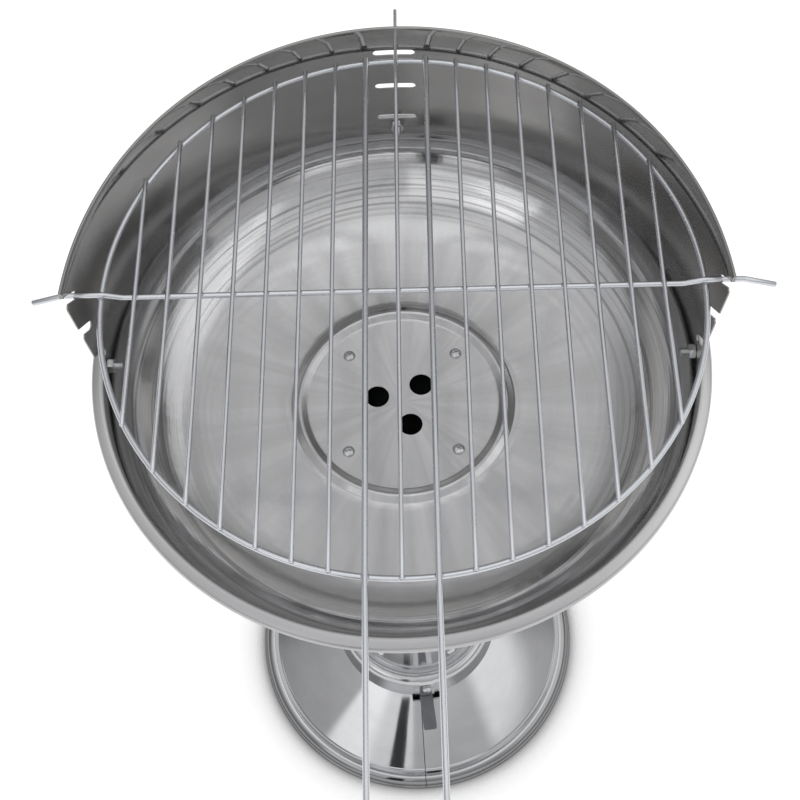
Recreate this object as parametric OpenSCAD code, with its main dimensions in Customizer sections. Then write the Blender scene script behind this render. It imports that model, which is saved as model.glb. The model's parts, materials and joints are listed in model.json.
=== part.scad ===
// Pedestal charcoal grill in stainless sheet and wire.
// Millimetres, Z up. The origin lies on the column's axis at the floor; the front is towards -Y.

/* [Sheet and clearances] */
// Thickness of the sheet that the shells are made of
sheet_t = 1; // [0.8:0.1:1.4]
// Gap between a shell and the tube or wall that it fits round
fit_gap = 0.2; // [0.1:0.05:0.3]
// Gap under a wire that rests in a notch, and beside a turning disc
rest_gap = 0.3; // [0.2:0.05:0.4]

/* [Foot] */
// Diameter over the rolled rim that stands on the floor
foot_d = 360; // [320:5:440]
// Height and width of the rolled rim
foot_roll = 12; // [8:1:16]
// Height of the flat top of the cone
foot_h = 60; // [54:1:90]
// Radial step from the column out to the edge of the cone's flat top
neck_step = 13; // [12:0.5:20]
// Corner radius between the flat top and the cone
foot_corner_r = 3; // [1:0.5:4]

/* [Collar] */
// How far the collar's lower edge stands out past the cone's flat top
collar_overhang = 2; // [1.5:0.25:5]
// Height of the collar's tapered band
collar_band_h = 22; // [18:1:30]
// How far the band draws in over its height
collar_taper = 3.5; // [1:0.5:5]
// Height of the rounded shoulder over the band
collar_shoulder_h = 10; // [6:1:14]
// Height of the short lip that hugs the column
collar_lip_h = 1.5; // [1:0.5:4]
// Azimuth of the collar's seam, from the front towards +X
collar_seam_az = 2.2; // [0:0.2:20]
// Angle over which the ends of the collar lap
collar_lap_a = 10; // [9:0.5:14]
// Height of the collar's screw, as a share of the band
collar_screw_at = 0.68; // [0.5:0.02:0.7]

/* [Column] */
// Outer diameter of the column
column_d = 150; // [136:1:160]
// Length of the column
column_l = 529; // [350:1:650]
// Height of the sleeve inside the column's foot
sleeve_h = 102; // [96:1:140]
// Height of the column's screws over the flat top of the foot
column_screw_rise = 84; // [70:1:88]
// Azimuth of the column's screws either side of the front and of the back
column_screw_az = 30; // [20:1:45]
// Depth of the skirt on the ring in the top of the column
head_skirt = 14; // [10:1:30]
// Diameter of the air passage through that ring
head_bore_d = 70; // [64:1:84]

/* [Air damper] */
// Azimuth of the slot and of the lever at rest
lever_az = 6.3; // [0:0.1:20]
// Width of the lever
lever_w = 14.6; // [10:0.2:18]
// Distance from the column's axis to the lever's tip
lever_reach = 129; // [115:1:150]
// Corner radius of the lever's tip
lever_tip_r = 2.5; // [1:0.5:5]
// Width of the slot that the lever passes through
lever_slot_w = 31; // [30:0.5:36]
// Depth of that slot below the underside of the cone's flat top
lever_slot_h = 4.2; // [3.6:0.1:5]
// Number of windows round the disc
window_n = 18; // [9:1:18]
// Angular width of a window
window_a = 9; // [6:0.5:9]
// Inner diameter of the ring of windows
window_in_d = 60; // [44:1:80]
// Outer diameter of the ring of windows
window_out_d = 134; // [110:1:138]
// Turn of the disc from rest to either end of its slot
damper_swing = 4.6; // [3:0.1:4.6]

/* [Bowl] */
// Diameter over the bowl's lip
bowl_d = 450; // [430:2:480]
// Depth of the bowl from its lip to the middle of its floor
bowl_depth = 84; // [78:1:120]
// Width of the lip round the bowl
lip_w = 8; // [6:0.5:10]
// Angle at which the lip falls outwards
lip_a = 20; // [10:1:30]
// Corner radius of the lip
lip_r = 2; // [1.5:0.1:2.5]
// Depth of the lip's turned-down edge
lip_drop = 3; // [2:0.5:5]
// Height of the straight band of wall under the lip
wall_band = 21; // [20:1:24]
// Radius of the knee under that band
wall_knee_r = 20; // [10:1:30]
// Angle at which the lower wall draws in
wall_taper_a = 20; // [10:1:24]
// Radius between the wall and the floor
bowl_fillet_r = 78; // [60:1:78]
// Angle to which the floor rises before that radius starts
dish_a = 5; // [2:0.5:6]
// Width of the round bead that the column locates in
bead_w = 12; // [8:0.5:16]
// Height of that bead
bead_h = 3.5; // [2:0.25:5]
// Diameter of an air hole in the floor
air_hole_d = 18.5; // [12:0.5:19]
// Diameter of the circle of air holes
air_hole_circle = 41.5; // [38:0.5:42]
// Turn of the first air hole from +X
air_hole_turn = 46; // [0:1:119]
// Side of the square of screws in the floor
bowl_screw_pitch = 85; // [82:0.5:88]

/* [Windscreen] */
// Height of the windscreen over the bowl's lip
screen_rise = 108; // [104:1:140]
// Depth to which it reaches below the lip
screen_sink = 20; // [17:0.5:20]
// How far its front edges stand in front of the column's axis
screen_front = 15; // [9:0.5:20]
// How far its top leans in at the back
screen_lean = 6; // [2:0.5:7]
// How much farther out its top stands at the front edges than at the back
screen_spread = 11.5; // [8:0.5:14]
// Power of the curve along which the top spreads
screen_spread_power = 4; // [2:1:4]
// Height of the hem along the top edge
hem_h = 7; // [4:0.5:10]
// Width of a slot at the back
slot_w = 31.5; // [24:0.5:40]
// Height of a slot at the back
slot_h = 6; // [6:0.1:7]
// Drop from the top edge to the pegs in the top notches
notch_drop = 27; // [24:0.5:30]
// Spacing of the three levels
level_pitch = 39; // [30:0.5:39.5]
// Width of a notch
notch_w = 6; // [5.6:0.1:7]
// How far behind the column's axis the notches end
notch_seat_y = 1; // [-1:0.5:3]
// Radius of the rounded lower corner at the mouth of a notch
notch_corner_r = 3; // [1:0.5:3.5]
// Drop of the screen's bolts below the lip
screen_bolt_drop = 8; // [7.5:0.25:9]
// Azimuth of the side bolts from the back
screen_bolt_az = 91; // [88:0.5:91]

/* [Grate] */
// Diameter of the ring, measured at the middle of its wire
ring_d = 410; // [390:1:412]
// Diameter of the ring's wire
ring_wire_d = 4; // [3.5:0.1:4.2]
// Diameter of the cross rod
cross_wire_d = 4; // [3.5:0.1:4.2]
// Diameter of the handle's rod
handle_wire_d = 4; // [3.5:0.1:5]
// Diameter of the thin rods
rod_wire_d = 3; // [2.5:0.1:3.2]
// Spacing of the rods
rod_pitch = 22.4; // [20:0.1:23]
// Distance from the grate's middle to the end of the handle
handle_reach = 430; // [340:5:520]
// Distance from the middle to where the cross rod starts to climb over the ring
crank_in = 190; // [182:1:190]
// Distance from the ring's wire back to where that climb ends
crank_run = 2; // [0.5:0.5:3]
// Radius of the bends in the cross rod
wire_bend_r = 6; // [4:0.5:8]
// Distance from the middle to where the pegs bend down
peg_bend = 230; // [229:1:236]
// Distance from the middle to a peg's tip
peg_reach = 253; // [245:1:265]
// Drop of a peg's tip
peg_drop = 8; // [2:0.5:10]
// Distance from the middle to the tip of the stub at the back
stub_reach = 253; // [240:1:260]
// How far the grate lies to the right of the middle
grate_side = 3.5; // [-5:0.5:5]

/* [Fasteners] */
// Shank diameter of the pan-head screws
screw_d = 5; // [4:0.5:5]
// Head diameter of the pan-head screws
screw_head_d = 9.6; // [8:0.2:10]
// Head height of the pan-head screws
screw_head_h = 3.4; // [2.5:0.1:4]
// Width over the flats of their nuts
screw_nut_w = 8; // [7:0.1:8]
// Height of their nuts
screw_nut_h = 4; // [3:0.1:4]
// Thread that stands past a nut
screw_tail = 1.6; // [1:0.1:3]
// Shank diameter of the bolts
bolt_d = 6; // [5:0.5:6]
// Width over the flats of the bolts' heads and nuts
bolt_hex_w = 10; // [8:0.1:10]
// Height of a bolt's head
bolt_head_h = 4; // [3:0.1:5]
// Height of a bolt's nut
bolt_nut_h = 5; // [4:0.1:5.5]
// Thread that stands past the windscreen's nuts
bolt_tail = 6; // [2:0.5:8]
// Clearance of a hole over its screw or bolt
hole_gap = 0.6; // [0.4:0.1:1]

/* [Hidden] */
// Thin rods on each side of the handle, of which the last lies over a pitch inside the ring
rods_aside = floor(ring_d / 2 / rod_pitch) - 2;
rod_names = [for (i = [1:2 * rods_aside]) str("grate_rod_", i < 10 ? "0" : "", i)];

$fn = 96;
steel = "#b9bcc0";
bright = "#d5d8db";
wire = "#c4c8cc";
dark_steel = "#8d9094";
over = 1;
seat = 0.02;

// Levels, from the floor up
foot_r = foot_d / 2;
column_r = column_d / 2;
foot_top_r = column_r + neck_step;
roll_r = foot_roll / 2;
crease_a = 150;
crease = [foot_r - roll_r + roll_r * cos(crease_a), roll_r + roll_r * sin(crease_a)];
cone_fall = (foot_h - crease[1]) / (crease[0] - foot_top_r);
sleeve_r = column_r - sheet_t - fit_gap;
plate_top = foot_h - sheet_t;
disc_top = plate_top - sheet_t - rest_gap;
disc_r = foot_top_r - sheet_t - 3;
washer_t = 1.2;
washer_top = disc_top - sheet_t - rest_gap;
column_z0 = foot_h + sheet_t + fit_gap;
column_z1 = column_z0 + column_l;
floor_z = column_z1 + sheet_t;
bowl_top = floor_z + bowl_depth;
screen_top = bowl_top + screen_rise;
peg_z = screen_top - notch_drop;
grate_z = peg_z - (ring_wire_d + cross_wire_d) / 2;
rod_z = grate_z + (ring_wire_d + rod_wire_d) / 2;
handle_z = grate_z + (ring_wire_d + handle_wire_d) / 2;
slot_z = rod_z + rod_wire_d / 2 + rest_gap - slot_h / 2;
bolt_z = bowl_top - screen_bolt_drop;

// Radii of the bowl's wall and the windscreen
wall_r = bowl_d / 2 - lip_w;
screen_r = wall_r - fit_gap;
ring_out_r = (ring_d + ring_wire_d) / 2 - 0.5;

// Peg seats: a wire lies rest_gap over the lowest point of its notch
notch_drop_in = notch_w / 2 - cross_wire_d / 2 - rest_gap;
notch_z = peg_z + notch_drop_in;

// Points of an arc about [x, y] from angle a0 to a1
function arc(x, y, r, a0, a1, n = 8) =
    [for (i = [0:n]) let (a = a0 + (a1 - a0) * i / n) [x + r * cos(a), y + r * sin(a)]];
function unit(v) = v / norm(v);
// Mitred normal to the right of a path at its point i
function right_of(p, i) =
    let (a = i > 0 ? unit(p[i] - p[i - 1]) : unit(p[1] - p[0]),
         b = i < len(p) - 1 ? unit(p[i + 1] - p[i]) : a,
         m = unit(a + b))
    [m[1], -m[0]] / (m * a);
// A path moved sideways by t
function beside(p, t) = [for (i = [0:len(p) - 1]) p[i] + right_of(p, i) * t];
// Closed outline of a sheet of thickness t to the right of a path
function sheet_outline(p, t) =
    let (q = beside(p, t)) concat(p, [for (i = [len(p) - 1:-1:0]) q[i]]);

// Turns +X to an azimuth measured from the front towards +X
module at_azimuth(az) {
    rotate([0, 0, az - 90]) children();
}

// Pan-head screw along -Z, its seat at z = 0
module pan_screw(grip) {
    recess_w = 1.1;
    recess_l = screw_head_d * 0.52;
    dome_r = (pow(screw_head_d / 2, 2) + pow(screw_head_h, 2)) / (2 * screw_head_h) + 1.2;
    difference() {
        union() {
            intersection() {
                cylinder(h = screw_head_h, d = screw_head_d, $fn = 48);
                translate([0, 0, screw_head_h - dome_r]) sphere(r = dome_r, $fn = 64);
            }
            translate([0, 0, -grip]) cylinder(h = grip + over, d = screw_d, $fn = 32);
        }
        for (turn = [0, 90])
            rotate([0, 0, turn])
                translate([-recess_l / 2, -recess_w / 2, screw_head_h * 0.45])
                    cube([recess_l, recess_w, screw_head_h]);
    }
}

// Hex bolt along -Z, its seat at z = 0 and a flat of its head towards +X
module hex_bolt(grip) {
    rotate([0, 0, 30]) cylinder(h = bolt_head_h, d = bolt_hex_w / cos(30), $fn = 6);
    translate([0, 0, -grip]) cylinder(h = grip + bolt_head_h / 2, d = bolt_d, $fn = 32);
}

// Hex nut on a thread of diameter d, from z = -h up to its seat at z = 0
module hex_nut(w, h, d) {
    difference() {
        rotate([0, 0, 30]) translate([0, 0, -h]) cylinder(h = h, d = w / cos(30), $fn = 6);
        translate([0, 0, -h - over]) cylinder(h = h + 2 * over, d = d + 2 * seat, $fn = 32);
    }
}

// Path with its inner points bent to radius r, each bend in n steps
function turn_at(p, i) = let (a = p[i] - p[i - 1], b = p[i + 1] - p[i])
    atan2(a[0] * b[1] - a[1] * b[0], a * b);
function bend_at(p, i, r, n) =
    let (turn = turn_at(p, i),
         along = unit(p[i] - p[i - 1]),
         inward = sign(turn) * [-along[1], along[0]],
         middle = p[i] - along * r * tan(abs(turn) / 2) + inward * r,
         a0 = atan2(-inward[1], -inward[0]))
    arc(middle[0], middle[1], r, a0, a0 + turn, n);
function bent_path(p, r, n = 4) = concat(
    [p[0]],
    [for (i = [1:len(p) - 2]) each bend_at(p, i, r, n)],
    [p[len(p) - 1]]);

// Wire of diameter d swept along a path in the XZ plane
module swept_wire(p, d, sides = 16) {
    last = len(p) - 1;
    points = [for (i = [0:last], j = [0:sides - 1])
        let (across = right_of(p, i) * cos(360 * j / sides) * d / 2)
        [p[i][0] + across[0], sin(360 * j / sides) * d / 2, p[i][1] + across[1]]];
    sides_of_tube = [for (i = [0:last - 1], j = [0:sides - 1])
        let (a = i * sides + j, b = i * sides + (j + 1) % sides)
        each [[a, b + sides, b], [a, a + sides, b + sides]]];
    ends = [[for (j = [0:sides - 1]) j], [for (j = [sides - 1:-1:0]) last * sides + j]];
    polyhedron(points, concat(sides_of_tube, ends), convexity = 4);
}

// Foot: flat top, cone, crease, rolled rim and the flat hem that lies on the floor
foot_path = concat(
    [[sleeve_r - sheet_t, foot_h]],
    arc(foot_top_r - foot_corner_r, foot_h - foot_corner_r, foot_corner_r, 90, 90 - atan(cone_fall), 4),
    [crease],
    arc(foot_r - roll_r, roll_r, roll_r, crease_a - 20, -90, 14),
    [[foot_r - roll_r - 5, 0]]);

module foot_cone() color(bright) difference() {
    rotate_extrude($fn = 144) polygon(sheet_outline(foot_path, sheet_t));
    at_azimuth(lever_az)
        translate([foot_top_r - sheet_t - 1, -lever_slot_w / 2, plate_top - lever_slot_h])
            cube([20, lever_slot_w, lever_slot_h]);
}

// Collar, drawn from its lip down, so that the sheet lies inside its outer face
collar_r = foot_top_r + collar_overhang;
collar_z0 = foot_h - (collar_overhang - sheet_t) * cone_fall + fit_gap;
collar_band_r = collar_r - collar_taper;
collar_shoulder_z = collar_z0 + collar_band_h;
collar_lip_r = column_r + fit_gap + sheet_t;
collar_shoulder_w = collar_band_r - collar_lip_r;
collar_path = concat(
    [[collar_lip_r, collar_shoulder_z + collar_shoulder_h + collar_lip_h]],
    [for (a = [80:-10:0])
        [collar_lip_r + collar_shoulder_w * cos(a), collar_shoulder_z + collar_shoulder_h * sin(a)]],
    [[collar_r, collar_z0]]);
collar_tilt = atan(collar_taper / collar_band_h);
collar_screw_az = collar_seam_az + collar_lap_a / 2;

// The lap's outer sheet lies over the band and the shoulder, and is one piece with the band
collar_lap_path = [for (i = [1:len(collar_path) - 1]) collar_path[i]];
collar_lap_outline = sheet_outline(beside(collar_lap_path, -sheet_t), 1.5 * sheet_t);

module at_collar_screw() {
    at_azimuth(collar_screw_az)
        translate([collar_r - collar_taper * collar_screw_at, 0, collar_z0 + collar_band_h * collar_screw_at])
            rotate([0, 90 - collar_tilt, 0]) children();
}

module neck_collar() color(steel) difference() {
    union() {
        rotate_extrude($fn = 120) polygon(sheet_outline(collar_path, sheet_t));
        rotate([0, 0, collar_seam_az - 90])
            rotate_extrude(angle = collar_lap_a, $fn = 120) polygon(collar_lap_outline);
    }
    at_collar_screw() translate([0, 0, -5]) cylinder(h = 10, d = screw_d + hole_gap, $fn = 32);
}

module collar_screw() color(bright)
    at_collar_screw() translate([0, 0, sheet_t + seat])
        pan_screw(2 * sheet_t + collar_nut_sink + screw_nut_h + screw_tail / 2);

// The nut's corners touch the inside of the collar
collar_nut_sink = pow(screw_nut_w / cos(30) / 2, 2) / (2 * (collar_band_r - 2 * sheet_t)) + seat;

module collar_nut() color(dark_steel)
    at_collar_screw() translate([0, 0, -sheet_t - collar_nut_sink]) hex_nut(screw_nut_w, screw_nut_h, screw_d);

// Sleeve: tube inside the column with a flange on the flat top of the foot
sleeve_path = [
    [sleeve_r, foot_h + sleeve_h],
    [sleeve_r, foot_h + sheet_t],
    [foot_top_r - foot_corner_r - 1, foot_h + sheet_t]];

module at_column_screws() {
    for (az = [-column_screw_az, column_screw_az, 180 - column_screw_az, 180 + column_screw_az])
        at_azimuth(az) translate([0, 0, foot_h + column_screw_rise]) rotate([0, 90, 0]) children();
}

module column_screw_holes() {
    at_column_screws() translate([0, 0, column_r - 10]) cylinder(h = 20, d = screw_d + hole_gap, $fn = 32);
}

module neck_sleeve() color(dark_steel) difference() {
    rotate_extrude() polygon(sheet_outline(sleeve_path, sheet_t));
    column_screw_holes();
}

module column_tube() color(steel) difference() {
    translate([0, 0, column_z0]) cylinder(h = column_l, r = column_r, $fn = 120);
    translate([0, 0, column_z0 - over]) cylinder(h = column_l + 2 * over, r = column_r - sheet_t, $fn = 120);
    column_screw_holes();
}

// The nuts' corners touch the inside of the sleeve
column_nut_r = sqrt(pow(sleeve_r - sheet_t, 2) - pow(screw_nut_w / cos(30) / 2, 2)) - seat;
column_screw_grip = column_r - column_nut_r + screw_nut_h + screw_tail;

module column_screws() color(bright)
    at_column_screws() translate([0, 0, column_r + seat]) pan_screw(column_screw_grip);

module column_nuts() color(dark_steel)
    at_column_screws() translate([0, 0, column_nut_r]) hex_nut(screw_nut_w, screw_nut_h, screw_d);

// Ring in the top of the column that the bowl is screwed to
head_path = [
    [head_bore_d / 2, column_z1],
    [sleeve_r, column_z1],
    [sleeve_r, column_z1 - head_skirt]];

module at_bowl_screws(z) {
    for (x = [-1, 1], y = [-1, 1])
        translate([x * bowl_screw_pitch / 2, y * bowl_screw_pitch / 2, z]) children();
}

module column_head() color(dark_steel) difference() {
    rotate_extrude() polygon(sheet_outline(head_path, sheet_t));
    at_bowl_screws(column_z1 - 5) cylinder(h = 10, d = screw_d + hole_gap, $fn = 32);
}

// Ring of windows in the damper, each a sector of the ring
module windows(turn) {
    for (i = [0:window_n - 1])
        rotate([0, 0, turn + i * 360 / window_n - window_a / 2])
            rotate_extrude(angle = window_a, $fn = 72)
                translate([window_in_d / 2, -over]) square([(window_out_d - window_in_d) / 2, sheet_t + 2 * over]);
}

module damper_plate() color(dark_steel) translate([0, 0, plate_top - sheet_t]) difference() {
    cylinder(h = sheet_t, r = disc_r);
    windows(0);
    translate([0, 0, -over]) cylinder(h = sheet_t + 2 * over, d = bolt_d + fit_gap, $fn = 32);
}

// The disc's windows meet the plate's when the lever is at the +X end of its slot
module damper_disc() color(dark_steel) translate([0, 0, disc_top - sheet_t]) difference() {
    union() {
        cylinder(h = sheet_t, r = disc_r - 1);
        at_azimuth(lever_az) {
            translate([disc_r - 10, -lever_w / 2, 0]) cube([lever_reach - disc_r + 10 - lever_tip_r, lever_w, sheet_t]);
            translate([lever_reach - 2 * lever_tip_r, -lever_w / 2 + lever_tip_r, 0])
                cube([2 * lever_tip_r, lever_w - 2 * lever_tip_r, sheet_t]);
            for (side = [-1, 1])
                translate([lever_reach - lever_tip_r, side * (lever_w / 2 - lever_tip_r), 0])
                    cylinder(h = sheet_t, r = lever_tip_r, $fn = 32);
        }
    }
    windows(-damper_swing);
    translate([0, 0, -over]) cylinder(h = sheet_t + 2 * over, d = bolt_d + 2 * rest_gap, $fn = 32);
}

pivot_grip = plate_top - washer_top + washer_t + bolt_nut_h + screw_tail;

module damper_pivot() color(dark_steel) translate([0, 0, plate_top]) hex_bolt(pivot_grip);

module damper_washer() color(dark_steel) translate([0, 0, washer_top - washer_t]) difference() {
    cylinder(h = washer_t, d = bolt_d * 2, $fn = 48);
    translate([0, 0, -over]) cylinder(h = washer_t + 2 * over, d = bolt_d + fit_gap, $fn = 32);
}

module damper_nut() color(dark_steel)
    translate([0, 0, washer_top - washer_t]) hex_nut(bolt_hex_w, bolt_nut_h, bolt_d);

// Bowl, drawn along its inner face from the middle of the floor to the edge of the lip
bead_r = column_r + fit_gap + bead_w / 2;
knee_z = bowl_top - wall_band;
knee_end = [wall_r - wall_knee_r * (1 - cos(wall_taper_a)), knee_z - wall_knee_r * sin(wall_taper_a)];
bead_out_r = bead_r + bead_w / 2;
// Where the radius would start if the floor did not rise, then with its rise
flat_z = floor_z + bowl_fillet_r * (cos(dish_a) - sin(wall_taper_a));
flat_r = knee_end[0] - (knee_end[1] - flat_z) * tan(wall_taper_a)
    - bowl_fillet_r * (cos(wall_taper_a) - sin(dish_a));
dish_rise = (flat_r - bead_out_r) * tan(dish_a / 2) / (1 - tan(dish_a / 2) * tan(wall_taper_a));
fillet_z = floor_z + dish_rise + bowl_fillet_r * cos(dish_a);
fillet_r0 = flat_r + dish_rise * tan(wall_taper_a) - bowl_fillet_r * sin(dish_a);
dish_r = (fillet_r0 + bowl_fillet_r * sin(dish_a) - bead_out_r) / sin(dish_a);
lip_top_z = bowl_top - lip_r;
lip_out_r = bowl_d / 2 - lip_r;
lip_out_z = lip_top_z - (lip_out_r - wall_r - lip_r) * tan(lip_a);
bowl_path = concat(
    [[0, floor_z]],
    [for (i = [0:12]) [bead_r - bead_w / 2 + bead_w * i / 12, floor_z + bead_h * (1 - cos(30 * i)) / 2]],
    [for (i = [1:3]) let (a = dish_a * i / 4)
        [bead_out_r + dish_r * sin(a), floor_z + dish_r * (1 - cos(a))]],
    arc(fillet_r0, fillet_z, bowl_fillet_r, dish_a - 90, -wall_taper_a, 12),
    arc(wall_r - wall_knee_r, knee_z, wall_knee_r, -wall_taper_a, 0, 5),
    arc(wall_r + lip_r, lip_top_z, lip_r, 180, 90 - lip_a, 6),
    arc(lip_out_r, lip_out_z, lip_r, 90 - lip_a, 0, 4),
    [[bowl_d / 2, lip_out_z - lip_drop]]);

module at_screen_bolts() {
    for (az = [-screen_bolt_az, 0, screen_bolt_az])
        rotate([0, 0, 90 - az]) translate([0, 0, bolt_z]) rotate([0, 90, 0]) children();
}

module screen_bolt_holes() {
    at_screen_bolts() translate([0, 0, wall_r - 10]) cylinder(h = 20, d = bolt_d + hole_gap, $fn = 32);
}

module fire_bowl() color(steel) difference() {
    rotate_extrude($fn = 144) polygon(sheet_outline(bowl_path, sheet_t));
    for (i = [0:2])
        rotate([0, 0, air_hole_turn + 120 * i])
            translate([air_hole_circle / 2, 0, floor_z - 5]) cylinder(h = 10, d = air_hole_d, $fn = 48);
    at_bowl_screws(floor_z - 5) cylinder(h = 10, d = screw_d + hole_gap, $fn = 32);
    screen_bolt_holes();
}

module bowl_screws() color(bright)
    at_bowl_screws(floor_z) rotate([0, 0, 20]) pan_screw(2 * sheet_t + screw_nut_h + screw_tail);

module bowl_nuts() color(dark_steel)
    at_bowl_screws(column_z1 - sheet_t) hex_nut(screw_nut_w, screw_nut_h, screw_d);

// Windscreen: a section swept round the back, its top drawn in at the back and spread at the ends
screen_z0 = bowl_top - screen_sink;
screen_half_a = 90 + asin(screen_front / screen_r);
swept_half_a = screen_half_a + 2;
screen_n = 72;
function top_r(az) =
    screen_r - screen_lean + screen_spread * pow(abs(az) / screen_half_a, screen_spread_power);
function lean_r(az, z) = screen_r + (top_r(az) - screen_r) * (z - bowl_top) / screen_rise;
function screen_section(az) = let (t = sheet_t, hem_z = screen_top - hem_h) [
    [screen_r - t, screen_z0],
    [screen_r, screen_z0],
    [screen_r, bowl_top],
    [top_r(az), screen_top],
    [top_r(az) - 2 * t, screen_top],
    [lean_r(az, hem_z) - 2 * t, hem_z],
    [lean_r(az, hem_z) - t, hem_z],
    [screen_r - t, bowl_top]];
screen_points = [for (i = [0:screen_n])
    let (az = swept_half_a * (2 * i / screen_n - 1))
    for (p = screen_section(az)) [p[0] * sin(az), p[0] * cos(az), p[1]]];
// Two triangles between edge j of section i and of the next, both skins split along the same diagonal
screen_k = len(screen_section(0));
function screen_quad(a, b) = screen_points[b][2] > screen_points[a][2]
    ? [[a, a + screen_k, b + screen_k], [a, b + screen_k, b]]
    : [[a, a + screen_k, b], [a + screen_k, b + screen_k, b]];
screen_faces = concat(
    [[for (j = [0:screen_k - 1]) j]],
    [[for (j = [screen_k - 1:-1:0]) screen_n * screen_k + j]],
    [for (i = [0:screen_n - 1], j = [0:screen_k - 1])
        each screen_quad(i * screen_k + j, i * screen_k + (j + 1) % screen_k)]);

// Round-ended slot through the back
module back_slot() {
    end_x = (slot_w - slot_h) / 2;
    rotate([90, 0, 0]) translate([0, 0, -wall_r - over]) linear_extrude(30)
        polygon(concat(arc(end_x, 0, slot_h / 2, -90, 90), arc(-end_x, 0, slot_h / 2, 90, 270)));
}

// Lower corner at the mouth of a notch, seen from the side with the notch's end at [0, 0]
mouth_y = -screen_front - notch_seat_y;
mouth_corner = [mouth_y, -mouth_y - notch_w * cos(45)];
mouth_middle = mouth_corner + [cos(67.5), -sin(67.5)] * notch_corner_r / sin(22.5);

// Slanted notch through both front edges, the lower corner of its mouth rounded
module edge_notch() {
    reach = 60;
    translate([-bowl_d / 2, 0, 0]) rotate([90, 0, 90]) linear_extrude(bowl_d) {
        rotate([0, 0, 135])
            polygon(concat(arc(0, 0, notch_w / 2, 90, 270), [[reach, -notch_w / 2], [reach, notch_w / 2]]));
        polygon(concat(
            [mouth_corner + [-2, 2 + over], [mouth_corner[0] - 2, mouth_middle[1]]],
            arc(mouth_middle[0], mouth_middle[1], notch_corner_r, 180, 45),
            [mouth_middle + [1, 1] * (notch_corner_r + over) * cos(45)]));
    }
}

// The sweep runs a little past the front edges, which are cut square to the front
module windscreen() color(steel) difference() {
    polyhedron(screen_points, screen_faces, convexity = 6);
    translate([-bowl_d, -bowl_d - screen_front, screen_z0 - over]) cube([2 * bowl_d, bowl_d, bowl_d]);
    for (level = [0:2]) {
        translate([0, 0, slot_z - level * level_pitch]) back_slot();
        translate([0, notch_seat_y, notch_z - level * level_pitch]) edge_notch();
    }
    screen_bolt_holes();
}

// The nuts' corners touch the inside of the screen
screen_nut_r = sqrt(pow(screen_r - sheet_t, 2) - pow(bolt_hex_w / cos(30) / 2, 2)) - 3 * seat;
screen_bolt_grip = wall_r + sheet_t - screen_nut_r + bolt_nut_h + bolt_tail;

module screen_bolts() color(bright)
    at_screen_bolts() translate([0, 0, wall_r + sheet_t + seat]) hex_bolt(screen_bolt_grip);

module screen_nuts() color(bright)
    at_screen_bolts() translate([0, 0, screen_nut_r]) hex_nut(bolt_hex_w, bolt_nut_h, bolt_d);

module grate_ring() color(wire)
    translate([grate_side, 0, grate_z]) rotate_extrude($fn = 144)
        translate([ring_d / 2, 0]) circle(d = ring_wire_d, $fn = 32);

// Cross rod: under the thin rods, over the ring, through the notches and down at its tips
cross_half = [
    [crank_in, grate_z],
    [ring_d / 2 - crank_run, peg_z],
    [peg_bend, peg_z],
    [peg_reach, peg_z - peg_drop]];
cross_path = concat([for (i = [3:-1:0]) [-cross_half[i][0], cross_half[i][1]]], cross_half);

module grate_cross_rod() color(wire)
    translate([grate_side, notch_seat_y, 0]) swept_wire(bent_path(cross_path, wire_bend_r), cross_wire_d);

// Handle: two rods across the whole grate, joined by a round bend at the front
handle_back = sqrt(pow(ring_out_r, 2) - pow(rod_pitch, 2));

module grate_handle() color(wire) translate([grate_side, 0, handle_z]) {
    for (side = [-1, 1])
        translate([side * rod_pitch, handle_back, 0]) rotate([90, 0, 0])
            cylinder(h = handle_back + handle_reach - handle_wire_d / 2 - rod_pitch, d = handle_wire_d, $fn = 32);
    translate([0, -handle_reach + handle_wire_d / 2 + rod_pitch, 0]) rotate([0, 0, 180])
        rotate_extrude(angle = 180, $fn = 72) translate([rod_pitch, 0]) circle(d = handle_wire_d, $fn = 32);
}

// Thin rod at x from y0 to y1
module thin_rod(x, y0, y1) color(wire)
    translate([grate_side + x, y1, rod_z]) rotate([90, 0, 0]) cylinder(h = y1 - y0, d = rod_wire_d, $fn = 32);

module grate_centre_rod() thin_rod(0, -ring_out_r, stub_reach);

// The first half of the rods lies left of the handle and the rest right of it, counted from -X
module grate_rod(i) {
    x = (i <= rods_aside ? i - rods_aside - 2 : i - rods_aside + 1) * rod_pitch;
    half = sqrt(pow(ring_out_r, 2) - pow(x, 2));
    thin_rod(x, -half, half);
}

foot_cone();
neck_collar();
collar_screw();
collar_nut();
neck_sleeve();
column_tube();
column_screws();
column_nuts();
column_head();
damper_plate();
damper_disc();
damper_pivot();
damper_washer();
damper_nut();
fire_bowl();
bowl_screws();
bowl_nuts();
windscreen();
screen_bolts();
screen_nuts();
grate_ring();
grate_cross_rod();
grate_handle();
grate_centre_rod();
for (i = [1:2 * rods_aside])
    grate_rod(i);
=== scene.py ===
# Pedestal charcoal grill: steel shells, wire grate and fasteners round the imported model, in a white studio
import json
import math
import random

import bmesh
import bpy
from mathutils import Matrix, Vector


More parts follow.
